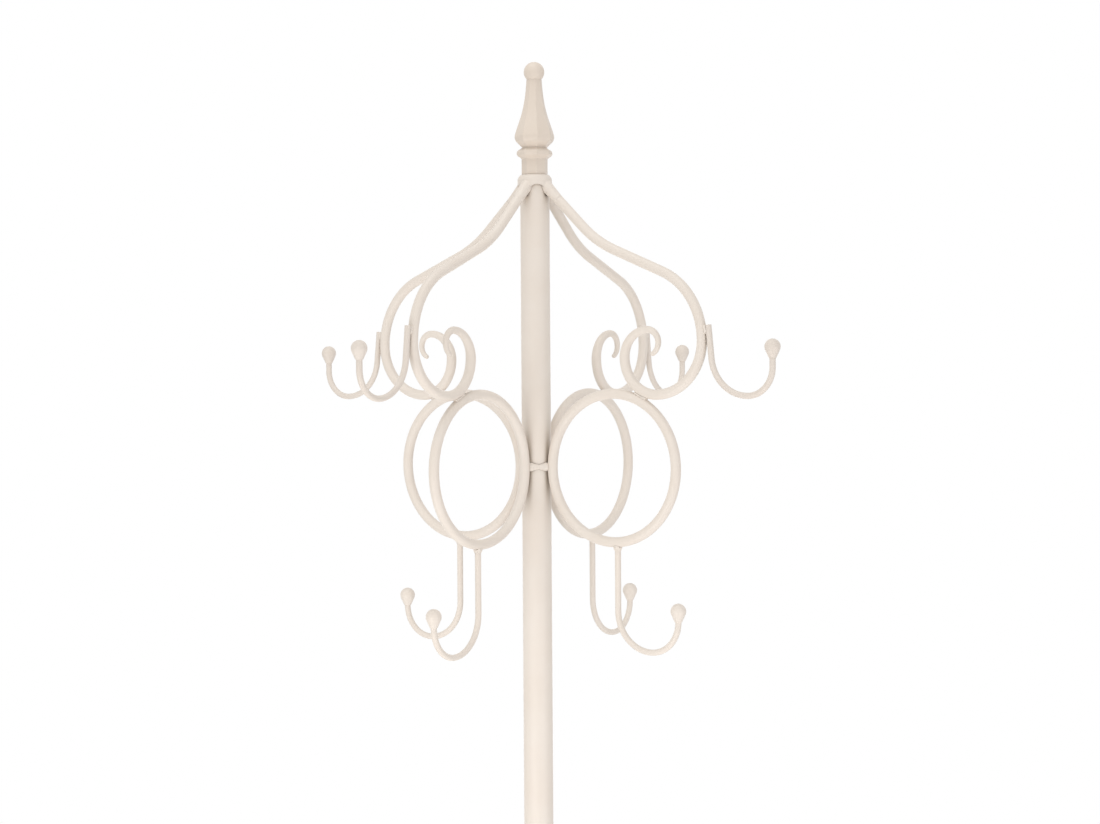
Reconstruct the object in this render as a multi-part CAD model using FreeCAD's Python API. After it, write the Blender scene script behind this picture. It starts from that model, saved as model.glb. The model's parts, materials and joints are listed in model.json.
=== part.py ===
import FreeCAD, Part
import math
import os

# Free-standing coat stand: a tube post with a finial, four scroll arms, rings and hooks,
# an umbrella hoop half way down and four scroll legs round a lift-out drip tray.
# Millimetres. The origin is on the floor under the post, +Z is up and the arms point along
# +X, +Y, -X and -Y. Each arm, hook, ring and leg is drawn in the X-Z plane and turned into place.

V = FreeCAD.Vector
UP = V(0, 0, 1)
SIDE = V(0, 1, 0)

# Overall height and post
STAND_H = 1850.0
POST_D = 29.2
POST_WALL = 1.5
POST_JOINT_Z = 900.0
POST_FOOT_Z = 345.0
POST_CHAMFER = 0.6

# Round bar stock
ARM_ROD = 10.0
HOOK_ROD = 6.0
LEG_ROD = 12.0
STRUT_ROD = 8.0

# Finial: half-widths across flats and heights above its seat
FINIAL_NECK = 12.1
FINIAL_NECK_H = 15.7
FINIAL_BEAD = 16.7
FINIAL_BEAD_H = 21.4
FINIAL_BEAD_HALF = 3.8
FINIAL_BEAD_ROUND = 2.8
FINIAL_GROOVE = 11.5
FINIAL_GROOVE_H = 27.2
FINIAL_LIP = 16.9
FINIAL_LIP_H = 32.9
FINIAL_BULB = 18.4
FINIAL_BULB_H = 37.0
FINIAL_BULB_R = 16.0
FINIAL_FLANK_DEG = 14.0
FINIAL_FLANK_L = 13.0
FINIAL_WAIST = 8.8
FINIAL_WAIST_H = 62.5
FINIAL_STEM = 7.1
FINIAL_STEM_H = 95.0
FINIAL_BALL_D = 20.6
FINIAL_SIDES = 8

# Collar over the top end of the post: its skirt is arched between the arms and has a boss round each
COLLAR_D = 34.4
COLLAR_NECK_D = 27.6
COLLAR_H = 22.0
COLLAR_SHOULDER_H = 5.2
COLLAR_BULGE = 0.7
COLLAR_WEB = 3.0
COLLAR_ARCH_R = 9.8
COLLAR_ARCH_DROP = 10.2
BOSS_D = 13.0
BOSS_TIP_D = 10.6
BOSS_L = 15.0

# Scroll arm, from the post outwards
ARM_ROOT_DROP = 12.3
ARM_ROOT_IN = 3.0
ARM_ROOT_DEG = 43.7
ARM_ROOT_RUN = 60.1
ARM_FLARE_R = 120.0
ARM_RUN_DEG = 22.5
ARM_RUN = 60.4
ARM_SHOULDER_R = 72.0
ARM_BULGE_R = 52.0
ARM_CURL_R = 36.5
ARM_TIP_R = 26.5
ARM_TIP_END_R = 12.5
ARM_TIP_END_DEG = 150.0
ARM_TIP_D = 4.8

# Ring under each arm
RING_R = 72.6

# Hooks: leg lean and length, inner and outer half of the bend, and stem up to the knob
UPPER_LEG_TOP = 6.0
UPPER_LEAN_DEG = 6.0
UPPER_LEG = 32.0
UPPER_BEND_IN = 40.0
UPPER_BEND_OUT = 27.0
UPPER_STEM = 19.0
LOWER_OUT = 5.0
LOWER_LEG = 62.0
LOWER_BEND_IN = 38.5
LOWER_BEND_OUT = 31.0
LOWER_STEM = 10.5

# Ball knob on each hook
KNOB_D = 15.2
KNOB_NECK_D = 7.2
KNOB_NECK_L = 10.4

# Legs, from the post to the foot scroll
LEG_WELD_L = 70.0
LEG_FLARE_R = 170.0
LEG_RUN_DEG = 20.0
LEG_SHOULDER_R = 70.0
LEG_SHIN_DEG = 75.0
LEG_FOOT_R = 40.0
LEG_CURL_R = 27.0
LEG_TIP_R = 14.0
LEG_TIP_DEG = 140.0
LEG_TIP_D = 6.0
PAD_D = 20.0
PAD_H = 8.0
PAD_SADDLE = 3.0

# Umbrella hoop and drip tray
HOOP_Z = 620.0
HOOP_R = 140.0
SPOKE_IN = 2.0
TRAY_RING_Z = 62.0
TRAY_RING_R = 114.0
TRAY_DEPTH = 28.0
TRAY_WALL_DEG = 80.0
TRAY_CORNER_R = 8.0
TRAY_SHEET = 1.2
TRAY_LIP_D = 4.0
TRAY_PLAY = 2.0

# Threaded inserts
PLUG_L = 22.0
STUD_D = 8.0
STUD_IN = 16.0
COUPLING_PLUG_L = 40.0
COUPLING_STUD_D = 12.0
COUPLING_STUD_IN = 30.0
FOOT_PLUG_L = 14.0
BORE_END = 1.0

# Weld beads: radius and half the straight length, and the fillet round a bar's end
RING_POST_BEAD = 5.7
RING_POST_BEAD_END = 2.6
RING_POST_BEAD_SINK = 0.8
RING_POST_BEAD_DEG = 44.4
RING_ARM_BEAD = 3.2
RING_ARM_BEAD_L = 5.0
UPPER_HOOK_BEAD = 3.2
UPPER_HOOK_BEAD_L = 2.4
UPPER_HOOK_BEAD_UP = 3.0
LEG_BEAD = 3.6
LEG_BEAD_L = 9.0
LEG_BEAD_IN = 14.0
FILLET_LEG = 1.4
FILLET_TOE = 0.3
FILLET_L = 3.2
FILLET_SINK = 3.0
FILLET_DRESS = 0.8

# Clearances: between welded bars, in bores, and under the loose tray
WELD_GAP = 0.3
BORE_FIT = 0.05
TRAY_GAP = 0.3

# Sizes that follow from the ones above
POST_R = POST_D / 2
POST_BORE_R = POST_R - POST_WALL
ARM_R = ARM_ROD / 2
HOOK_R = HOOK_ROD / 2
LEG_R = LEG_ROD / 2
STRUT_R = STRUT_ROD / 2
KNOB_R = KNOB_D / 2
FINIAL_BALL_R = FINIAL_BALL_D / 2
FINIAL_BALL_H = FINIAL_STEM_H + math.sqrt(FINIAL_BALL_R ** 2 - FINIAL_STEM ** 2)
COLLAR_TOP = STAND_H - FINIAL_BALL_H - FINIAL_BALL_R
COLLAR_FOOT = COLLAR_TOP - COLLAR_H
POST_TOP = COLLAR_TOP - COLLAR_WEB
RING_X = POST_R + WELD_GAP + ARM_R + RING_R
LEG_TOP = POST_FOOT_Z + LEG_WELD_L
LEG_X = POST_R + WELD_GAP + LEG_R
FOOT_Z = PAD_H - PAD_SADDLE + LEG_R


class Centreline:
    """The middle of a bent bar in the X-Z plane, grown from straights and tangent arcs."""

    def __init__(self, x, z, heading):
        self.x = x
        self.z = z
        self.heading = math.radians(heading)
        self.start = self.point()
        self.start_way = self.way()
        self.edges = []

    def point(self):
        return V(self.x, 0, self.z)

    def way(self):
        return V(math.cos(self.heading), 0, math.sin(self.heading))

    def straight(self, length):
        before = self.point()
        self.x += length * math.cos(self.heading)
        self.z += length * math.sin(self.heading)
        self.edges.append(Part.makeLine(before, self.point()))
        return self

    def bend(self, radius, turn):
        """Turn by so many degrees: positive to the left of the way ahead, negative to the right."""
        side = math.copysign(radius, turn)
        centre_x = self.x - side * math.sin(self.heading)
        centre_z = self.z + side * math.cos(self.heading)
        points = [self.point()]
        for half in (1, 2):
            angle = self.heading + math.radians(turn) * half / 2
            points.append(V(centre_x + side * math.sin(angle), 0, centre_z - side * math.cos(angle)))
        self.heading += math.radians(turn)
        self.x = points[2].x
        self.z = points[2].z
        self.edges.append(Part.Arc(*points).toShape())
        self.centre = V(centre_x, 0, centre_z)
        return self


def round_bar(line, diameter, end_diameter=None):
    """A bar of round section along a centreline, tapering when it has an end diameter."""
    first = Part.Wire([Part.makeCircle(diameter / 2, line.start, line.start_way)])
    sections = [first]
    if end_diameter:
        sections.append(Part.Wire([Part.makeCircle(end_diameter / 2, line.point(), line.way())]))
    return Part.Wire(line.edges).makePipeShell(sections, True, False)


def scroll_bar(line, tip_line, diameter, tip_diameter):
    """A round bar drawn out to a thin, rounded tip."""
    tip = round_bar(tip_line, diameter, tip_diameter)
    nose = Part.makeSphere(tip_diameter / 2, tip_line.point(), tip_line.way())
    return round_bar(line, diameter).fuse([tip, nose]).removeSplitter()


def rod_between(start, end, radius):
    along = end - start
    return Part.makeCylinder(radius, along.Length, start, along)


def closed_ring(radius, rod_radius, centre, axis):
    return Part.makeTorus(radius, rod_radius, centre, axis)


def turned(outline):
    """A solid turned about +Z from the edges of a closed half outline in the X-Z plane."""
    return Part.Face(Part.Wire(outline)).revolve(V(0, 0, 0), UP, 360)


def bead(centre, along, half_length, radius, neighbours):
    """A weld bead that runs along the joint, melted on to each neighbour's surface."""
    half = along * half_length
    core = rod_between(centre - half, centre + half, radius)
    ends = [Part.makeSphere(radius, centre - half), Part.makeSphere(radius, centre + half)]
    return core.fuse(ends).removeSplitter().cut(neighbours)


def fillet_weld(place, way, rod_radius, neighbours):
    """A fillet weld round the end of a bar, where the bar leaves another piece's surface."""
    foot_r = rod_radius + FILLET_LEG
    base = Part.makeCylinder(foot_r, FILLET_SINK, place - way * FILLET_SINK, way)
    cone = Part.makeCone(foot_r, rod_radius + FILLET_TOE, FILLET_L, place, way)
    return base.fuse(cone).removeSplitter().cut(neighbours)


def quarter(shape, number):
    """The shape turned to the arm of that number, counted from +X towards +Y."""
    return shape.rotated(V(0, 0, 0), UP, 90 * (number - 1))


def all_quarters(shape):
    return Part.Compound([solid for n in (1, 2, 3, 4) for solid in quarter(shape, n).Solids])


def make_finial():
    """An eight-sided turning: one outline planed through from each pair of opposite flats."""
    flank = math.radians(FINIAL_FLANK_DEG)
    bead_x = FINIAL_BEAD - FINIAL_BEAD_ROUND
    bulb_x = FINIAL_BULB - FINIAL_BULB_R * (1 - math.cos(flank))
    bulb_z = FINIAL_BULB_H + FINIAL_BULB_R * math.sin(flank)
    neck = V(FINIAL_NECK, 0, FINIAL_NECK_H)
    bead_low = V(bead_x, 0, FINIAL_BEAD_H - FINIAL_BEAD_HALF)
    bead_high = V(bead_x, 0, FINIAL_BEAD_H + FINIAL_BEAD_HALF)
    groove = V(FINIAL_GROOVE, 0, FINIAL_GROOVE_H)
    lip = V(FINIAL_LIP, 0, FINIAL_LIP_H)
    bulb_top = V(bulb_x, 0, bulb_z)
    flank_end = bulb_top + V(-math.sin(flank), 0, math.cos(flank)) * FINIAL_FLANK_L
    sweep = Part.BezierCurve()
    waist = V(FINIAL_WAIST, 0, FINIAL_WAIST_H)
    sweep.setPoles([bulb_top, flank_end, waist, V(FINIAL_STEM, 0, FINIAL_STEM_H)])
    outline = [
        Part.makeLine(V(FINIAL_NECK, 0, 0), neck),
        Part.makeLine(neck, bead_low),
        Part.Arc(bead_low, V(FINIAL_BEAD, 0, FINIAL_BEAD_H), bead_high).toShape(),
        Part.makeLine(bead_high, groove),
        Part.makeLine(groove, lip),
        Part.Arc(lip, V(FINIAL_BULB, 0, FINIAL_BULB_H), bulb_top).toShape(),
        sweep.toShape(),
    ]
    mirrored = [edge.mirror(V(0, 0, 0), V(1, 0, 0)) for edge in reversed(outline)]
    top = Part.makeLine(V(FINIAL_STEM, 0, FINIAL_STEM_H), V(-FINIAL_STEM, 0, FINIAL_STEM_H))
    foot = Part.makeLine(V(-FINIAL_NECK, 0, 0), V(FINIAL_NECK, 0, 0))
    wire = Part.Wire(Part.__sortEdges__(outline + [top] + mirrored + [foot]))
    depth = 4 * FINIAL_BULB
    slab = Part.Face(wire).extrude(SIDE * depth).translated(SIDE * (-depth / 2))
    step = 360 / FINIAL_SIDES
    body = slab.rotated(V(0, 0, 0), UP, step / 2)
    for cut in range(1, FINIAL_SIDES // 2):
        body = body.common(slab.rotated(V(0, 0, 0), UP, step / 2 + step * cut))
    ball = Part.makeSphere(FINIAL_BALL_R, V(0, 0, FINIAL_BALL_H))
    bore = Part.makeCylinder(STUD_D / 2 + BORE_FIT, STUD_IN + BORE_END, V(0, 0, -BORE_END))
    return body.fuse(ball).cut(bore).translated(V(0, 0, COLLAR_TOP))


def make_collar():
    """A domed cap on the post, with arches in its skirt and tapered bosses that hold the arms' ends."""
    rim_r = COLLAR_D / 2
    neck_r = COLLAR_NECK_D / 2
    shoulder = V(rim_r, 0, COLLAR_TOP - COLLAR_SHOULDER_H)
    neck = V(neck_r, 0, COLLAR_TOP)
    rise = neck - shoulder
    bulge = V(rise.z, 0, -rise.x).normalize() * COLLAR_BULGE
    centre_foot = V(0, 0, COLLAR_FOOT)
    centre_top = V(0, 0, COLLAR_TOP)
    cap = turned([
        Part.makeLine(centre_foot, V(rim_r, 0, COLLAR_FOOT)),
        Part.makeLine(V(rim_r, 0, COLLAR_FOOT), shoulder),
        Part.Arc(shoulder, (shoulder + neck) * 0.5 + bulge, neck).toShape(),
        Part.makeLine(neck, centre_top),
        Part.makeLine(centre_top, centre_foot),
    ])
    arch_z = COLLAR_TOP - COLLAR_ARCH_DROP - COLLAR_ARCH_R
    arch = Part.makeCylinder(COLLAR_ARCH_R, COLLAR_D, V(0, 0, arch_z), V(1, 1, 0))
    boss = Part.makeCone(BOSS_D / 2, BOSS_TIP_D / 2, BOSS_L, ARM_LINE.start, ARM_LINE.start_way)
    arm_bore = Part.makeCylinder(ARM_R + BORE_FIT, ARM_ROOT_RUN, ARM_LINE.start, ARM_LINE.start_way)
    socket = Part.makeCylinder(POST_R + BORE_FIT, POST_TOP - COLLAR_FOOT, V(0, 0, COLLAR_FOOT))
    hole = Part.makeCylinder(STUD_D / 2 + BORE_FIT, COLLAR_H, V(0, 0, COLLAR_FOOT))
    skirted = cap.cut([quarter(arch, n) for n in (1, 2, 3, 4)])
    bossed = skirted.fuse([quarter(boss, n) for n in (1, 2, 3, 4)])
    return bossed.cut([socket, hole] + [quarter(arm_bore, n) for n in (1, 2, 3, 4)])


def make_tube(low, high):
    """A length of the post, chamfered outside at the end that meets the other length."""
    outside = Part.makeCylinder(POST_R, high - low, V(0, 0, low))
    joint = [e for e in outside.Edges if abs(e.CenterOfMass.z - POST_JOINT_Z) < 0.01]
    outside = outside.makeChamfer(POST_CHAMFER, joint)
    return outside.cut(Part.makeCylinder(POST_BORE_R, high - low, V(0, 0, low)))


def make_plug(low, high, bore_r=0.0):
    plug = Part.makeCylinder(POST_BORE_R - BORE_FIT, high - low, V(0, 0, low))
    if not bore_r:
        return plug
    return plug.cut(Part.makeCylinder(bore_r + BORE_FIT, high - low, V(0, 0, low)))


def make_stud(radius, low, high):
    return Part.makeCylinder(radius, high - low, V(0, 0, low))


def arm_lines():
    """The arm's even bar and its tapering tip, with the middle of the curl above the ring."""
    root = Centreline(POST_R, COLLAR_TOP - ARM_ROOT_DROP, -ARM_ROOT_DEG)
    root.straight(-ARM_ROOT_IN)
    line = Centreline(root.x, root.z, -ARM_ROOT_DEG)
    line.straight(ARM_ROOT_RUN + ARM_ROOT_IN)
    line.bend(ARM_FLARE_R, ARM_ROOT_DEG - ARM_RUN_DEG)
    line.straight(ARM_RUN)
    line.bend(ARM_SHOULDER_R, ARM_RUN_DEG - 90)
    bulge = line.point()
    line.bend(ARM_BULGE_R, -90)
    line.bend(ARM_CURL_R, -90)
    curl = line.centre
    tip = Centreline(line.x, line.z, 90)
    tip.bend(ARM_TIP_R, -90)
    tip.bend(ARM_TIP_END_R, -ARM_TIP_END_DEG)
    return line, tip, bulge, curl


ARM_LINE, ARM_TIP_LINE, ARM_BULGE, ARM_CURL = arm_lines()
ARM_TO_RING = ARM_CURL_R + ARM_ROD + RING_R + WELD_GAP
RING_Z = ARM_CURL.z - math.sqrt(ARM_TO_RING ** 2 - (ARM_CURL.x - RING_X) ** 2)
RING_CENTRE = V(RING_X, 0, RING_Z)
RING_OUT = (ARM_CURL - RING_CENTRE).normalize()
RING_TOUCH = RING_CENTRE + RING_OUT * (RING_R + ARM_R + WELD_GAP / 2)
LOWER_X = RING_X + LOWER_OUT

# The upper hook's leg leans on the shoulder of the arm and stands a little above where it touches
LEAN = math.radians(UPPER_LEAN_DEG)
LEAN_OUT = V(math.cos(LEAN), 0, math.sin(LEAN))
LEAN_UP = V(-math.sin(LEAN), 0, math.cos(LEAN))
SHOULDER = ARM_BULGE - V(ARM_SHOULDER_R, 0, 0)
HOOK_TOUCH = SHOULDER + LEAN_OUT * (ARM_SHOULDER_R + ARM_R + WELD_GAP / 2)
UPPER_TOP = HOOK_TOUCH + LEAN_OUT * (WELD_GAP / 2 + HOOK_R) + LEAN_UP * UPPER_LEG_TOP


def hook_line(top, lean, leg, bend_in, bend_out, stem):
    line = Centreline(top.x, top.z, lean - 90)
    line.straight(leg)
    line.bend(bend_in, 90 - lean)
    line.bend(bend_out, 90)
    line.straight(stem)
    return line


UPPER_LINE = hook_line(UPPER_TOP, UPPER_LEAN_DEG, UPPER_LEG, UPPER_BEND_IN, UPPER_BEND_OUT, UPPER_STEM)
LOWER_LINE = hook_line(V(LOWER_X, 0, RING_Z - RING_R), 0, LOWER_LEG + ARM_R,
                       LOWER_BEND_IN, LOWER_BEND_OUT, LOWER_STEM)


def make_knob(centre):
    """A ball drawn down into a cone, bored for the end of the hook."""
    neck_r = KNOB_NECK_D / 2
    bore_r = HOOK_R + BORE_FIT
    neck = V(neck_r, 0, -KNOB_NECK_L)
    tangent = math.atan2(neck.z, neck.x) + math.acos(KNOB_R / neck.Length)
    middle = (tangent + math.pi / 2) / 2
    touch = V(math.cos(tangent), 0, math.sin(tangent)) * KNOB_R
    top = V(0, 0, KNOB_R)
    outline = [
        Part.makeLine(V(bore_r, 0, -KNOB_NECK_L), neck),
        Part.makeLine(neck, touch),
        Part.Arc(touch, V(math.cos(middle), 0, math.sin(middle)) * KNOB_R, top).toShape(),
        Part.makeLine(top, V(0, 0, BORE_FIT)),
        Part.makeLine(V(0, 0, BORE_FIT), V(bore_r, 0, BORE_FIT)),
        Part.makeLine(V(bore_r, 0, BORE_FIT), V(bore_r, 0, -KNOB_NECK_L)),
    ]
    return turned(outline).translated(centre)


def make_ring_post_bead(neighbours):
    """A weld that runs out both ways round the post from where a ring touches it."""
    line = Centreline(POST_R - RING_POST_BEAD_SINK, 0, 90)
    line.bend(POST_R - RING_POST_BEAD_SINK, RING_POST_BEAD_DEG)
    horn = round_bar(line, 2 * RING_POST_BEAD, 2 * RING_POST_BEAD_END)
    horn = horn.rotated(V(0, 0, 0), V(1, 0, 0), -90)
    both = horn.fuse(horn.mirror(V(0, 0, 0), SIDE))
    return both.translated(UP * RING_Z).cut(neighbours)


def leg_lines():
    """The leg's even bar down to the foot scroll, its tapering tip, and the foot and shin points."""
    line = Centreline(LEG_X, LEG_TOP, -90)
    line.straight(LEG_WELD_L)
    line.bend(LEG_FLARE_R, 90 - LEG_RUN_DEG)
    line.bend(LEG_SHOULDER_R, LEG_RUN_DEG - LEG_SHIN_DEG)
    pitch = math.radians(LEG_SHIN_DEG)
    shin_foot_z = FOOT_Z + LEG_FOOT_R * (1 - math.cos(pitch))
    line.straight((line.z - shin_foot_z) / math.sin(pitch))
    shin = line.point()
    line.bend(LEG_FOOT_R, LEG_SHIN_DEG)
    foot = line.point()
    line.bend(LEG_FOOT_R, 90)
    tip = Centreline(line.x, line.z, 90)
    tip.bend(LEG_CURL_R, 90)
    tip.bend(LEG_TIP_R, LEG_TIP_DEG)
    return line, tip, foot, shin


LEG_LINE, LEG_TIP_LINE, LEG_FOOT, LEG_SHIN = leg_lines()


def make_drip_tray():
    """A spun dish whose flat flange rests on the tray ring, with a rolled outer lip."""
    flange_z = TRAY_RING_Z + STRUT_R + TRAY_GAP
    lean = math.radians(TRAY_WALL_DEG)
    wall = TRAY_DEPTH - TRAY_CORNER_R * (1 - math.cos(lean))
    wall_run = wall / math.sin(lean)
    mouth_r = TRAY_RING_R - STRUT_R - TRAY_PLAY
    flat = mouth_r - wall_run * math.cos(lean) - TRAY_CORNER_R * math.sin(lean)
    rim_r = TRAY_RING_R + STRUT_R
    skins = []
    for inset, extra in ((0.0, 0.0), (TRAY_SHEET, 2 * TRAY_SHEET)):
        line = Centreline(0, flange_z - TRAY_DEPTH + inset, 0)
        line.straight(flat)
        line.bend(TRAY_CORNER_R - inset, TRAY_WALL_DEG)
        line.straight(wall_run + extra)
        centre_top = V(0, 0, line.z)
        closing = [Part.makeLine(line.point(), centre_top), Part.makeLine(centre_top, line.start)]
        skins.append(Part.Face(Part.Wire(line.edges + closing)).revolve(V(0, 0, 0), UP, 360))
    flange = Part.makeCylinder(rim_r, TRAY_SHEET, V(0, 0, flange_z))
    lip = closed_ring(rim_r, TRAY_LIP_D / 2, V(0, 0, flange_z + TRAY_LIP_D / 2), UP)
    return skins[0].fuse([flange, lip]).cut(skins[1]).removeSplitter()


os.makedirs("parts", exist_ok=True)
parts = {}

# Post, collar and finial
post_blank = Part.makeCylinder(POST_R, STAND_H, V(0, 0, 0))
parts["finial"] = make_finial()
parts["finial_stud"] = make_stud(STUD_D / 2, POST_TOP - PLUG_L, COLLAR_TOP + STUD_IN - BORE_END)
parts["top_plug"] = make_plug(POST_TOP - PLUG_L, POST_TOP, STUD_D / 2)
parts["arm_collar"] = make_collar()
parts["upper_post"] = make_tube(POST_JOINT_Z, POST_TOP)
parts["lower_post"] = make_tube(POST_FOOT_Z, POST_JOINT_Z)
parts["coupling_nut"] = make_plug(POST_JOINT_Z, POST_JOINT_Z + COUPLING_PLUG_L, COUPLING_STUD_D / 2)
parts["coupling_plug"] = make_plug(POST_JOINT_Z - COUPLING_PLUG_L, POST_JOINT_Z, COUPLING_STUD_D / 2)
parts["coupling_stud"] = make_stud(COUPLING_STUD_D / 2, POST_JOINT_Z - COUPLING_STUD_IN,
                                   POST_JOINT_Z + COUPLING_STUD_IN)
parts["foot_plug"] = make_plug(POST_FOOT_Z, POST_FOOT_Z + FOOT_PLUG_L)

# Arms, rings and hooks
arm = scroll_bar(ARM_LINE, ARM_TIP_LINE, ARM_ROD, ARM_TIP_D).cut(post_blank)
ring = closed_ring(RING_R, ARM_R, RING_CENTRE, SIDE)
upper_hook = round_bar(UPPER_LINE, HOOK_ROD)
lower_hook = round_bar(LOWER_LINE, HOOK_ROD).cut(ring)
upper_knob = make_knob(UPPER_LINE.point())
lower_knob = make_knob(LOWER_LINE.point())
for n in (1, 2, 3, 4):
    parts["scroll_arm_%d" % n] = quarter(arm, n)
    parts["ring_%d" % n] = quarter(ring, n)
    parts["upper_hook_%d" % n] = quarter(upper_hook, n)
    parts["lower_hook_%d" % n] = quarter(lower_hook, n)
    parts["upper_knob_%d" % n] = quarter(upper_knob, n)
    parts["lower_knob_%d" % n] = quarter(lower_knob, n)

# Weld beads of the arms, rings and hooks
hook_end = HOOK_TOUCH + LEAN_UP * UPPER_LEG_TOP
hook_bead_trim = Part.makeCylinder(ARM_ROD, ARM_ROD, hook_end, LEAN_UP)
ring_post_bead = make_ring_post_bead([post_blank, ring])
ring_arm_bead = bead(RING_TOUCH, RING_OUT.cross(SIDE), RING_ARM_BEAD_L, RING_ARM_BEAD, [ring, arm])
upper_hook_bead = bead(HOOK_TOUCH + LEAN_UP * UPPER_HOOK_BEAD_UP, LEAN_UP, UPPER_HOOK_BEAD_L, UPPER_HOOK_BEAD,
                       [arm, upper_hook, hook_bead_trim])
lower_hook_bead = fillet_weld(V(LOWER_X, 0, RING_Z - RING_R - ARM_R), -UP, HOOK_R, [ring, lower_hook])
parts["ring_post_welds"] = all_quarters(ring_post_bead)
parts["ring_arm_welds"] = all_quarters(ring_arm_bead)
parts["upper_hook_welds"] = all_quarters(upper_hook_bead)
parts["lower_hook_welds"] = all_quarters(lower_hook_bead)

# Legs, feet and tray support
leg = scroll_bar(LEG_LINE, LEG_TIP_LINE, LEG_ROD, LEG_TIP_D)
leg_beads = [bead(V(POST_R + WELD_GAP / 2, 0, z), UP, LEG_BEAD_L, LEG_BEAD, [post_blank, leg])
             for z in (LEG_TOP - LEG_BEAD_IN, POST_FOOT_Z + LEG_BEAD_IN)]
pad = Part.makeCylinder(PAD_D / 2, PAD_H, V(LEG_FOOT.x, 0, 0)).cut(leg)
tray_ring = closed_ring(TRAY_RING_R, STRUT_R, V(0, 0, TRAY_RING_Z), UP)
shin_way = math.radians(LEG_SHIN_DEG)
strut_end = LEG_SHIN.x - (TRAY_RING_Z - LEG_SHIN.z) / math.tan(shin_way)
strut = rod_between(V(TRAY_RING_R, 0, TRAY_RING_Z), V(strut_end, 0, TRAY_RING_Z), STRUT_R)
strut = strut.cut([tray_ring, leg])
hoop = closed_ring(HOOP_R, ARM_R, V(0, 0, HOOP_Z), UP)
spoke = rod_between(V(POST_R - SPOKE_IN, 0, HOOP_Z), V(HOOP_R, 0, HOOP_Z), STRUT_R).cut([post_blank, hoop])
out = V(1, 0, 0)
tray_seat = Part.makeCylinder(2 * TRAY_RING_R, LEG_ROD, V(0, 0, TRAY_RING_Z + STRUT_R - FILLET_DRESS))
hoop_beads = [
    fillet_weld(V(POST_R, 0, HOOP_Z), out, STRUT_R, [post_blank, spoke]),
    fillet_weld(V(HOOP_R - ARM_R, 0, HOOP_Z), -out, STRUT_R, [hoop, spoke]),
]
strut_beads = [
    fillet_weld(V(TRAY_RING_R + STRUT_R, 0, TRAY_RING_Z), out, STRUT_R, [tray_ring, strut, tray_seat]),
    fillet_weld(V(strut_end - LEG_R / math.sin(shin_way), 0, TRAY_RING_Z), -out, STRUT_R, [leg, strut]),
]
parts["umbrella_hoop"] = hoop
parts["tray_ring"] = tray_ring
parts["drip_tray"] = make_drip_tray()
parts["leg_welds"] = Part.Compound([all_quarters(one) for one in leg_beads])
parts["hoop_welds"] = Part.Compound([all_quarters(one) for one in hoop_beads])
parts["strut_welds"] = Part.Compound([all_quarters(one) for one in strut_beads])
for n in (1, 2, 3, 4):
    parts["leg_%d" % n] = quarter(leg, n)
    parts["foot_pad_%d" % n] = quarter(pad, n)
    parts["hoop_spoke_%d" % n] = quarter(spoke, n)
    parts["tray_strut_%d" % n] = quarter(strut, n)

for name, shape in parts.items():
    shape.exportStep("parts/%s.step" % name)
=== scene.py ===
import json
import math
import bpy
import bmesh
from mathutils import Matrix, Vector


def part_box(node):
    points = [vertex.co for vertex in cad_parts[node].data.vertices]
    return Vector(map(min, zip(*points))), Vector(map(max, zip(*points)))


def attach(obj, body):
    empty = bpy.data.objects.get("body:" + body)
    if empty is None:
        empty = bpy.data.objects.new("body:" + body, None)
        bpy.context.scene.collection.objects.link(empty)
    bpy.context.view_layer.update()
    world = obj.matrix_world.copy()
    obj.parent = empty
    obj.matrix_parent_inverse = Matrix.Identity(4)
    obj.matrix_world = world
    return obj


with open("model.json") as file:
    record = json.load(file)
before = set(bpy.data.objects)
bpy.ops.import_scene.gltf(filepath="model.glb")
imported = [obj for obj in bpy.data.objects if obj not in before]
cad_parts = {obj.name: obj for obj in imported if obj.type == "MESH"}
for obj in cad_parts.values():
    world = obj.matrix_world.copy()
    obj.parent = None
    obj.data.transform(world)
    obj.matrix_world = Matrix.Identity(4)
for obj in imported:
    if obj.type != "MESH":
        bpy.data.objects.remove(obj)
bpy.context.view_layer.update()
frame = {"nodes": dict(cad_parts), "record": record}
nodes = frame["nodes"]

# The photograph's camera: distances in metres, angles in degrees, the image and the focal length in
# pixels, the sensor in millimetres.
IMAGE_W = 1100
FOCAL_PX = 2361.0
SENSOR = 36.0
AZIMUTH = 35.6
DISTANCE = 2.361
SIDE_STEP = 0.0138
HEIGHT_OVER_RING = 0.0867
PITCH_DOWN = 0.784
ROLL = -0.366
CLIP_END = 60.0

# The directions to the right in the photograph, away from its camera along the ground, and up.
RIGHT = Vector((math.cos(math.radians(AZIMUTH)), math.sin(math.radians(AZIMUTH)), 0))
AWAY = Vector((-RIGHT.y, RIGHT.x, 0))
UP = Vector((0, 0, 1))

# Colours of paint, metal and rubber, linear.
CREAM = (0.806, 0.740, 0.670)
CREAM_DEEP = (0.785, 0.710, 0.634)
# Deeper creams that make the upper hooks, and the finial more so, darker than the rest of the stand.
HOOK_CREAM = (0.766, 0.700, 0.634)
HOOK_DEEP = (0.746, 0.672, 0.600)
FINIAL_CREAM = (0.757, 0.672, 0.586)
FINIAL_DEEP = (0.734, 0.643, 0.553)
# Painted shade in crevices, which also stands for the dark of unpainted joints, and a wider painted shade.
JOINT_DARK_AND_SHADE = (0.250, 0.190, 0.140)
SHADE = (0.480, 0.410, 0.340)
# Deeper painted shade in the gaps under the collar's arches and along the welds of the rings to the post,
# which also stands for the dark of unpainted joints.
DEEP_JOINT_DARK_AND_SHADE = (0.110, 0.085, 0.060)
PINHOLE = (0.060, 0.045, 0.035)
STEEL = (0.52, 0.52, 0.53)
STEEL_LIGHT = (0.66, 0.66, 0.66)
RUBBER = (0.030, 0.030, 0.031)
RUBBER_LIGHT = (0.062, 0.061, 0.060)
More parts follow.
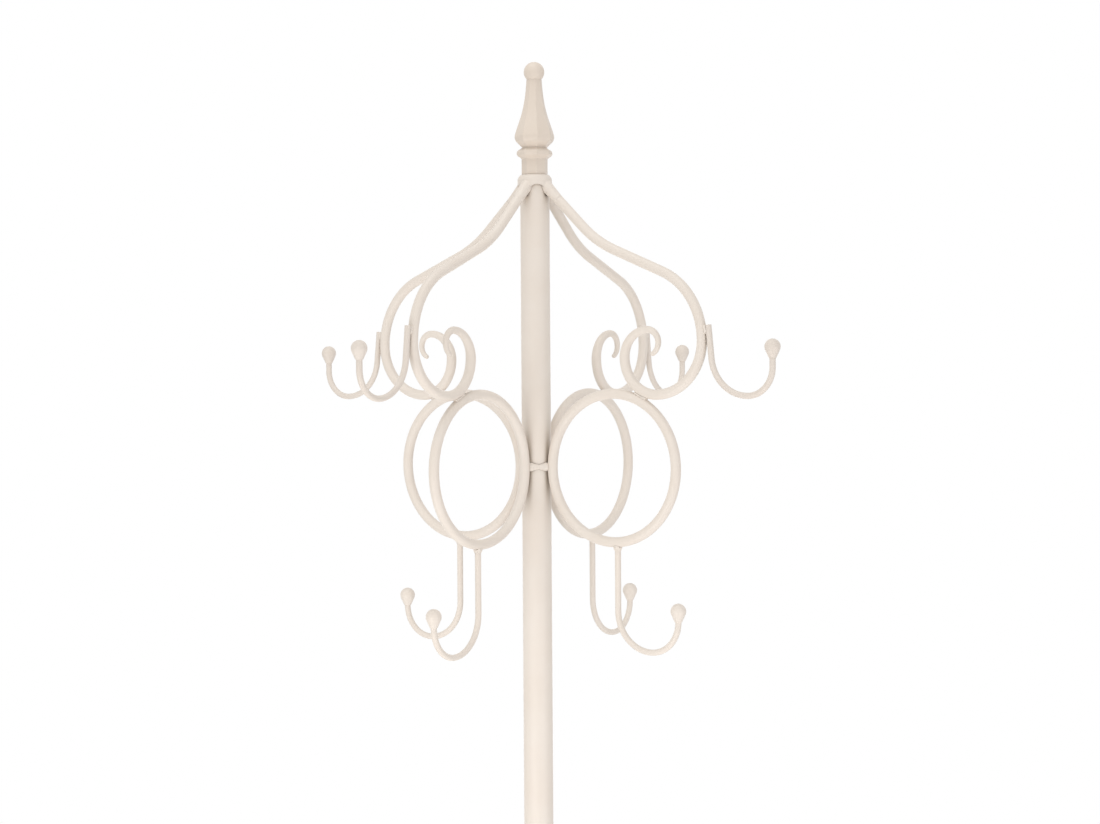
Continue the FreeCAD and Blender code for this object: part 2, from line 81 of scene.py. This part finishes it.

# Crevices and shades: the tone, how far it reaches, the openness at which it is full and at which it ends.
# They paint shade where a surface lies near another one, and in the crevices this shade also stands for the
# dark of unpainted joints. An openness of -0.70 never occurs, so that the crevice on the post is never full.
PLAIN_CREVICE = (JOINT_DARK_AND_SHADE, 0.005, 0.02, 0.42)
POST_CREVICE = (JOINT_DARK_AND_SHADE, 0.0045, -0.70, 0.56)
POST_SHADE = (SHADE, 0.024, 0.34, 0.86)
COLLAR_CREVICE = (DEEP_JOINT_DARK_AND_SHADE, 0.004, 0.30, 0.66)
WELD_CREVICE = (JOINT_DARK_AND_SHADE, 0.0025, 0.0, 0.36)
RAGGED_CREVICE = (DEEP_JOINT_DARK_AND_SHADE, 0.0022, 0.52, 0.93)
OCCLUSION_SAMPLES = 12

# Distances from the stand's axis over which the ragged crevice along the post fades out.
RAGGED_WITHIN = (0.0152, 0.0166)

# Noise grains: features to a metre, layers of finer features, and the strength of those where it is set.
DRIFT_GRAIN = (26.0, 4.0, 0.55)
PIT_GRAIN = (520.0, 2.0)
RAGGED_GRAIN = (460.0, 2.0)
SHEEN_GRAIN = (60.0, 3.0)
PEEL_GRAIN = (140.0, 2.0)
FINE_PEEL_GRAIN = (620.0, 1.0)
STEEL_GRAIN = (120.0, 3.0)
STEEL_SHEEN_GRAIN = (300.0, 2.0)
RUBBER_GRAIN = (90.0, 4.0)
RUBBER_SHEEN_GRAIN = (250.0, 2.0)
PEBBLE_GRAIN = (1400.0, 2.0)

# Waves: how close their lines lie, how far these wander, and layers of finer wandering.
SPUN_WAVE = (55.0, 0.4, 1.0)
TURNED_WAVE = (320.0, 0.6, 2.0)

# Values of the noise that are taken as its lowest and highest, and what they turn into.
NOISE_SPAN = (0.3, 0.7)
DRIFT_SPAN = (0.32, 0.68)
PIT_SPAN = (0.67, 0.73)
PIT_COVER = (0.0, 0.6)
RAGGED_SHIFT = (-0.16, 0.10)
PAINT_ROUGH = (0.40, 0.50)
STEEL_ROUGH = (0.28, 0.42)
RUBBER_ROUGH = (0.62, 0.82)

# Bumps: the strength, and the depth in metres.
PEEL_BUMP = (0.04, 0.0005)
FINE_PEEL_BUMP = (0.025, 0.0001)
SPUN_BUMP = (0.22, 0.0004)
TURNED_BUMP = (0.2, 0.0002)
PEBBLE_BUMP = (0.35, 0.0002)

# Gloss of the paint, and the radius to which it rounds the edges of the castings.
PAINT_SPECULAR = 0.36
PAINT_COAT = 0.06
PAINT_COAT_ROUGH = 0.34
EDGE_ROUND = 0.0012
EDGE_SAMPLES = 8

# Weld beads: size of the mesh, size of the lumps, and their height from the lowest to the highest.
WELD_MESH = 0.00035
WELD_LUMP = 0.0030
WELD_LUMP_H = 0.0010

# Paint run out over the end of each boss of the collar, onto its arm. The arm's line meets the post
# ARM_ROOT_DROP below the collar's top, at ARM_ROOT_DEG below the horizontal. The run-out is measured along
# that line, from ARM_ROOT_IN inside the post: distances, and radii there. Its first RUN_OUT_SKIN bands
# are its outside, and the others lie hidden in the boss and the arm.
ARMS = 4
ARM_ROOT_DROP = 0.0123
ARM_ROOT_IN = 0.003
ARM_ROOT_DEG = 43.7
RUN_OUT = ((0.009, 0.00575), (0.0115, 0.00560), (0.0135, 0.00546), (0.015, 0.00536), (0.017, 0.00523),
           (0.019, 0.00513), (0.0215, 0.00505), (0.0245, 0.00498), (0.0245, 0.00480), (0.009, 0.00480))
RUN_OUT_SKIN = 7
RUN_OUT_SIDES = 64

# Floor: pale near the stand so that it takes the shadow, white further out.
FLOOR_R = 4.0
FLOOR_SIDES = 96
FLOOR_PALE = (0.86, 0.86, 0.86, 1)
FLOOR_ROUGH = 0.9
FLOOR_FADE = (0.5, 1.5)
FLOOR_WHITENESS = (0.10, 1.0)

# World: slightly warm light from all round, and the white that is seen in its place.
WORLD_TINT = (1.0, 0.99, 0.975, 1)
WORLD_LEVEL = 0.653
WHITE = (1, 1, 1, 1)
WHITE_LEVEL = 1.0

# The Mix node's sockets for colours, which share their names with its other ones.
MIX_COLOURS = (6, 7)
MIX_RESULT = 2


def new_material(name):
    mat = bpy.data.materials.new(name)
    mat.use_nodes = True
    tree = mat.node_tree
    return mat, tree, tree.nodes["Principled BSDF"]


def object_coords(tree):
    return tree.nodes.new("ShaderNodeTexCoord").outputs["Object"]


def noise(tree, coords, scale, detail, roughness=0.5):
    node = tree.nodes.new("ShaderNodeTexNoise")
    node.inputs["Scale"].default_value = scale
    node.inputs["Detail"].default_value = detail
    node.inputs["Roughness"].default_value = roughness
    tree.links.new(coords, node.inputs["Vector"])
    return node.outputs["Fac"]


def wave(tree, coords, kind, scale, distortion, detail):
    """Lines that follow each other along Z as BANDS, or out from the Z axis as RINGS."""
    node = tree.nodes.new("ShaderNodeTexWave")
    node.wave_type = kind
    node.bands_direction = "Z"
    node.rings_direction = "Z"
    node.inputs["Scale"].default_value = scale
    node.inputs["Distortion"].default_value = distortion
    node.inputs["Detail"].default_value = detail
    tree.links.new(coords, node.inputs["Vector"])
    return node.outputs["Fac"]


def combine(tree, operation, first, second):
    node = tree.nodes.new("ShaderNodeMath")
    node.operation = operation
    tree.links.new(first, node.inputs[0])
    tree.links.new(second, node.inputs[1])
    return node.outputs[0]


def mix_colour(tree, factor, first, second):
    node = tree.nodes.new("ShaderNodeMix")
    node.data_type = "RGBA"
    tree.links.new(factor, node.inputs["Factor"])
    for value, slot in zip((first, second), MIX_COLOURS):
        if isinstance(value, tuple):
            node.inputs[slot].default_value = (*value, 1)
        else:
            tree.links.new(value, node.inputs[slot])
    return node.outputs[MIX_RESULT]


def mix_shaders(tree, factor, first, second):
    node = tree.nodes.new("ShaderNodeMixShader")
    for source, slot in zip((factor, first.outputs[0], second.outputs[0]), node.inputs):
        tree.links.new(source, slot)
    return node.outputs[0]


def map_range(tree, value, span, to=(0.0, 1.0), smooth=False):
    node = tree.nodes.new("ShaderNodeMapRange")
    if smooth:
        node.interpolation_type = "SMOOTHSTEP"
    for key, number in zip(("From Min", "From Max", "To Min", "To Max"), (*span, *to)):
        node.inputs[key].default_value = number
    tree.links.new(value, node.inputs["Value"])
    return node.outputs["Result"]


def bump(tree, height, strength, depth, normal=None):
    node = tree.nodes.new("ShaderNodeBump")
    node.inputs["Strength"].default_value = strength
    node.inputs["Distance"].default_value = depth
    tree.links.new(height, node.inputs["Height"])
    if normal is not None:
        tree.links.new(normal, node.inputs["Normal"])
    return node.outputs["Normal"]


def rounded_normal(tree, radius):
    node = tree.nodes.new("ShaderNodeBevel")
    node.inputs["Radius"].default_value = radius
    node.samples = EDGE_SAMPLES
    return node.outputs["Normal"]


def openness(tree, reach):
    """1 on a free surface, and less the more of the space within reach other surfaces take up."""
    node = tree.nodes.new("ShaderNodeAmbientOcclusion")
    node.inputs["Distance"].default_value = reach
    node.samples = OCCLUSION_SAMPLES
    return node.outputs["AO"]


def axis_distance(tree, coords):
    flat = tree.nodes.new("ShaderNodeVectorMath")
    flat.operation = "MULTIPLY"
    flat.inputs[1].default_value = (1, 1, 0)
    tree.links.new(coords, flat.inputs[0])
    length = tree.nodes.new("ShaderNodeVectorMath")
    length.operation = "LENGTH"
    tree.links.new(flat.outputs["Vector"], length.inputs[0])
    return length.outputs["Value"]


def shade_tone(tree, tone, dark, reach, closed, opened):
    """The colour, softly darker where the surface lies near another one."""
    open_air = map_range(tree, openness(tree, reach), (closed, opened), smooth=True)
    return mix_colour(tree, open_air, dark, tone)


def crevice_tone(tree, coords, tone, within, dark, reach, closed, opened):
    """The colour, darkened along a ragged line where the surface lies close in against another one: painted
    shade, which also stands for the dark of unpainted joints.
    """
    shift = map_range(tree, noise(tree, coords, *RAGGED_GRAIN), NOISE_SPAN, RAGGED_SHIFT)
    ragged = combine(tree, "ADD", openness(tree, reach), shift)
    open_air = map_range(tree, ragged, (closed, opened), smooth=True)
    if within:
        far_out = map_range(tree, axis_distance(tree, coords), within)
        open_air = combine(tree, "MAXIMUM", open_air, far_out)
    return mix_colour(tree, open_air, dark, tone)


def cream_paint(name, tones=(CREAM, CREAM_DEEP), crevice=PLAIN_CREVICE, within=None, shade=None,
                edge_round=None, holes=False, spun=False):
    """Satin powder coat: faint colour drift and orange peel, with painted shade where pieces lie together,
    which in the crevices also stands for the dark of unpainted joints.
    """
    mat, tree, shader = new_material(name)
    coords = object_coords(tree)
    drift = map_range(tree, noise(tree, coords, *DRIFT_GRAIN), DRIFT_SPAN)
    tone = mix_colour(tree, drift, *tones)
    if holes:
        pits = map_range(tree, noise(tree, coords, *PIT_GRAIN), PIT_SPAN, PIT_COVER)
        tone = mix_colour(tree, pits, tone, PINHOLE)
    # Painted shade near other surfaces, and in crevices painted shade that also stands for the dark of
    # unpainted joints.
    if shade:
        tone = shade_tone(tree, tone, *shade)
    if crevice:
        tone = crevice_tone(tree, coords, tone, within, *crevice)
    tree.links.new(tone, shader.inputs["Base Color"])
    rough = map_range(tree, noise(tree, coords, *SHEEN_GRAIN), NOISE_SPAN, PAINT_ROUGH)
    tree.links.new(rough, shader.inputs["Roughness"])
    normal = rounded_normal(tree, edge_round) if edge_round else None
    if spun:
        normal = bump(tree, wave(tree, coords, "RINGS", *SPUN_WAVE), *SPUN_BUMP, normal)
    normal = bump(tree, noise(tree, coords, *PEEL_GRAIN), *PEEL_BUMP, normal)
    normal = bump(tree, noise(tree, coords, *FINE_PEEL_GRAIN), *FINE_PEEL_BUMP, normal)
    tree.links.new(normal, shader.inputs["Normal"])
    shader.inputs["Specular IOR Level"].default_value = PAINT_SPECULAR
    shader.inputs["Coat Weight"].default_value = PAINT_COAT
    shader.inputs["Coat Roughness"].default_value = PAINT_COAT_ROUGH
    return mat


def plated_steel(name):
    """Turned, zinc plated steel with fine rings of tool marks."""
    mat, tree, shader = new_material(name)
    coords = object_coords(tree)
    tone = mix_colour(tree, noise(tree, coords, *STEEL_GRAIN), STEEL, STEEL_LIGHT)
    tree.links.new(tone, shader.inputs["Base Color"])
    rough = map_range(tree, noise(tree, coords, *STEEL_SHEEN_GRAIN), NOISE_SPAN, STEEL_ROUGH)
    tree.links.new(rough, shader.inputs["Roughness"])
    normal = bump(tree, wave(tree, coords, "BANDS", *TURNED_WAVE), *TURNED_BUMP)
    tree.links.new(normal, shader.inputs["Normal"])
    shader.inputs["Metallic"].default_value = 1.0
    return mat


def pad_rubber(name):
    """Moulded rubber, matt, with a fine pebbled skin."""
    mat, tree, shader = new_material(name)
    coords = object_coords(tree)
    tone = mix_colour(tree, noise(tree, coords, *RUBBER_GRAIN), RUBBER, RUBBER_LIGHT)
    tree.links.new(tone, shader.inputs["Base Color"])
    rough = map_range(tree, noise(tree, coords, *RUBBER_SHEEN_GRAIN), NOISE_SPAN, RUBBER_ROUGH)
    tree.links.new(rough, shader.inputs["Roughness"])
    normal = bump(tree, noise(tree, coords, *PEBBLE_GRAIN), *PEBBLE_BUMP)
    tree.links.new(normal, shader.inputs["Normal"])
    return mat


def finish_nodes(paint):
    """Give each node of the frame its material, by its name or else by its slot."""
    hook_paint = cream_paint("cream_upper_hooks", (HOOK_CREAM, HOOK_DEEP))
    weld_paint = cream_paint("cream_over_weld", crevice=WELD_CREVICE, holes=True)
    # The collar, the post and the welds take painted shade in their crevices, which also stands for the dark
    # of unpainted joints; the post also takes a wider painted shade.
    own_material = {
        "finial": cream_paint("cream_finial", (FINIAL_CREAM, FINIAL_DEEP), None, edge_round=EDGE_ROUND),
        "arm_collar": cream_paint("cream_soft_edges", crevice=COLLAR_CREVICE, edge_round=EDGE_ROUND),
        "upper_post": cream_paint("cream_post", crevice=POST_CREVICE, shade=POST_SHADE),
        "drip_tray": cream_paint("cream_spun_dish", spun=True),
        "ring_post_welds": cream_paint("cream_over_ragged_weld", crevice=RAGGED_CREVICE,
                                       within=RAGGED_WITHIN, holes=True),
    }
    slot_material = {
        "cream_paint": paint,
        "bare_steel": plated_steel("plated_steel"),
        "pad_rubber": pad_rubber("pad_rubber"),
    }
    for sub in frame["record"]["subparts"]:
        node = sub["node"]
        material = slot_material[sub["material_slot"]]
        if node in own_material:
            material = own_material[node]
        elif node.endswith("_welds"):
            material = weld_paint
        elif node.startswith(("upper_hook_", "upper_knob_")):
            material = hook_paint
        mesh = nodes[node].data
        mesh.materials.clear()
        mesh.materials.append(material)


def lump_welds():
    """Make the weld beads uneven: a fine even mesh, pushed in and out."""
    lumps = bpy.data.textures.new("weld_lumps", "CLOUDS")
    lumps.noise_scale = WELD_LUMP
    for node, bead in nodes.items():
        if node.endswith("_welds"):
            even = bead.modifiers.new("even_mesh", "REMESH")
            even.mode = "VOXEL"
            even.voxel_size = WELD_MESH
            even.use_smooth_shade = True
            uneven = bead.modifiers.new("lumps", "DISPLACE")
            uneven.texture = lumps
            uneven.texture_coords = "LOCAL"
            uneven.strength = WELD_LUMP_H


def add_object(name, data):
    added = bpy.data.objects.new(name, data)
    bpy.context.scene.collection.objects.link(added)
    return added


def add_mesh(name, bm, material):
    mesh = bpy.data.meshes.new(name)
    bm.to_mesh(mesh)
    bm.free()
    mesh.materials.append(material)
    return add_object(name, mesh)


def make_run_out(paint):
    slope = math.radians(ARM_ROOT_DEG)
    post_low, post_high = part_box("upper_post")
    root_x = (post_high.x - post_low.x) / 2 - ARM_ROOT_IN * math.cos(slope)
    root_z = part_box("arm_collar")[1].z - ARM_ROOT_DROP + ARM_ROOT_IN * math.sin(slope)
    along_arm = Matrix.Translation((root_x, 0, root_z)) @ Matrix.Rotation(math.pi / 2 + slope, 4, "Y")
    turns = [math.tau * side / RUN_OUT_SIDES for side in range(RUN_OUT_SIDES)]
    bm = bmesh.new()
    for arm in range(ARMS):
        place = Matrix.Rotation(math.tau * arm / ARMS, 4, "Z") @ along_arm
        loops = []
        for along, radius in RUN_OUT:
            points = [place @ Vector((radius * math.cos(a), radius * math.sin(a), along)) for a in turns]
            loops.append([bm.verts.new(point) for point in points])
        for band, (near, far) in enumerate(zip(loops, loops[1:] + loops[:1])):
            for side in range(RUN_OUT_SIDES):
                after = (side + 1) % RUN_OUT_SIDES
                face = bm.faces.new((near[side], near[after], far[after], far[side]))
                face.smooth = band < RUN_OUT_SKIN
    bmesh.ops.recalc_face_normals(bm, faces=bm.faces)
    piece = add_mesh("arm_root_paint", bm, paint)
    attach(piece, "stand")


def background_rays(tree):
    """1 for rays that see the background, straight or by way of a shiny or clear surface, else 0."""
    path = tree.nodes.new("ShaderNodeLightPath")
    rays = path.outputs["Is Camera Ray"]
    for name in ("Is Glossy Ray", "Is Transmission Ray"):
        rays = combine(tree, "MAXIMUM", rays, path.outputs[name])
    return rays


def make_floor():
    mat, tree, shader = new_material("floor_white")
    shader.inputs["Base Color"].default_value = FLOOR_PALE
    shader.inputs["Roughness"].default_value = FLOOR_ROUGH
    fade = map_range(tree, axis_distance(tree, object_coords(tree)), FLOOR_FADE, FLOOR_WHITENESS, smooth=True)
    seen = combine(tree, "MULTIPLY", fade, background_rays(tree))
    glow = tree.nodes.new("ShaderNodeEmission")
    glow.inputs["Color"].default_value = WHITE
    glow.inputs["Strength"].default_value = WHITE_LEVEL
    tree.links.new(mix_shaders(tree, seen, shader, glow), tree.nodes["Material Output"].inputs["Surface"])
    bm = bmesh.new()
    bmesh.ops.create_circle(bm, cap_ends=True, segments=FLOOR_SIDES, radius=FLOOR_R)
    floor = add_mesh("floor", bm, mat)


def make_world():
    world = bpy.data.worlds.new("studio")
    bpy.context.scene.world = world
    world.use_nodes = True
    tree = world.node_tree
    light = tree.nodes["Background"]
    light.inputs["Color"].default_value = WORLD_TINT
    light.inputs["Strength"].default_value = WORLD_LEVEL
    white = tree.nodes.new("ShaderNodeBackground")
    white.inputs["Color"].default_value = WHITE
    white.inputs["Strength"].default_value = WHITE_LEVEL
    blend = mix_shaders(tree, background_rays(tree), light, white)
    tree.links.new(blend, tree.nodes["World Output"].inputs["Surface"])


def area_light(name, away, right, height, aim_height, size, watts, colour):
    """A softbox: metres from the stand's axis as the camera sees it, and the height on the axis it faces."""
    data = bpy.data.lights.new(name, "AREA")
    data.shape = "RECTANGLE"
    data.size, data.size_y = size
    data.energy = watts
    data.color = colour
    place = AWAY * away + RIGHT * right + UP * height
    light = add_object(name, data)
    light.location = place
    light.rotation_mode = "QUATERNION"
    light.rotation_quaternion = (UP * aim_height - place).to_track_quat("-Z", "Y")


def make_lights():
    area_light("key_softbox", away=-1.3, right=-0.85, height=0.5, aim_height=1.0,
               size=(1.2, 1.0), watts=11.8, colour=(1.0, 0.98, 0.97))
    area_light("top_softbox", away=-0.45, right=-0.25, height=3.6, aim_height=1.5,
               size=(1.6, 1.2), watts=17.0, colour=(1.0, 0.99, 0.98))
    area_light("fill_softbox", away=-1.6, right=1.7, height=0.6, aim_height=1.0,
               size=(1.4, 1.2), watts=11.0, colour=(1.0, 0.97, 0.995))
    area_light("back_softbox", away=2.2, right=0.0, height=1.2, aim_height=1.2,
               size=(2.0, 1.4), watts=6.0, colour=(1.0, 0.99, 0.98))


def make_camera():
    ring_low, ring_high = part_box("ring_1")
    height = (ring_low.z + ring_high.z) / 2 + HEIGHT_OVER_RING
    pitch = math.radians(PITCH_DOWN)
    forward = AWAY * math.cos(pitch) - UP * math.sin(pitch)
    level_up = RIGHT.cross(forward)
    roll = math.radians(ROLL)
    x_axis = RIGHT * math.cos(roll) + level_up * math.sin(roll)
    y_axis = level_up * math.cos(roll) - RIGHT * math.sin(roll)
    matrix = Matrix((x_axis, y_axis, -forward)).transposed().to_4x4()
    matrix.translation = RIGHT * SIDE_STEP - AWAY * DISTANCE + UP * height
    data = bpy.data.cameras.new("photo_camera")
    data.sensor_fit = "HORIZONTAL"
    data.sensor_width = SENSOR
    data.lens = SENSOR * FOCAL_PX / IMAGE_W
    data.clip_end = CLIP_END
    camera = add_object("photo_camera", data)
    camera.matrix_world = matrix
    bpy.context.scene.camera = camera


cream = cream_paint("cream_powder_coat")
finish_nodes(cream)
lump_welds()
make_run_out(cream)
make_camera()
make_floor()
make_world()
make_lights()

bpy.context.scene.view_settings.view_transform = "Standard"
